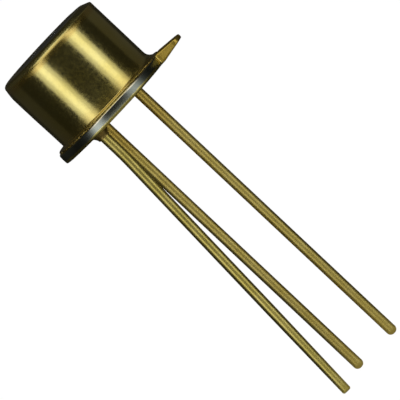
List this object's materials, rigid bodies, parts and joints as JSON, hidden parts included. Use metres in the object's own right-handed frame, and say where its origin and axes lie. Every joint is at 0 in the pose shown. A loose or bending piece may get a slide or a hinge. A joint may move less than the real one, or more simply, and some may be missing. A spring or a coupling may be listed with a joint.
{
  "type": "photo sensor",
  "caption": "Light sensor in a round gold-plated metal can with a flat glass window, an index tab and wire leads.",
  "frame": {"origin": "centre of the header's flat underside, which faces the circuit board", "axes": "+Z along the can's axis towards the window, +X along the index tab; the leads point down along -Z"},
  "size_m": [0.0064, 0.0054, 0.0168],
  "materials": {
    "header_gold": "gold plate over an iron-nickel stamping, bare and silver on the flange's rim",
    "gold_plating": "satin gold plate with a fine grain",
    "window_glass": "clear polished glass",
    "solder_glass": "dark fused glass",
    "bead_glass": "dark fused glass",
    "lead_gold": "satin gold plate with fine drawing lines",
    "braze": "dull braze under gold plate",
    "silicon": "polished silicon with bright contact pads",
    "chip_solder": "dull die solder",
    "wire_gold": "bright gold wire"
  },
  "bodies": {
    "root": {"header_base": "header_gold", "can": "gold_plating", "window_glass": "window_glass", "window_seal": "solder_glass", "glass_bead_emitter": "bead_glass", "glass_bead_base": "bead_glass", "lead_emitter": "lead_gold", "lead_base": "lead_gold", "lead_collector": "lead_gold", "collector_braze": "braze", "sensor_chip": "silicon", "chip_bond": "chip_solder", "emitter_bond_wire": "wire_gold", "base_bond_wire": "wire_gold"}
  },
  "joints": []
}
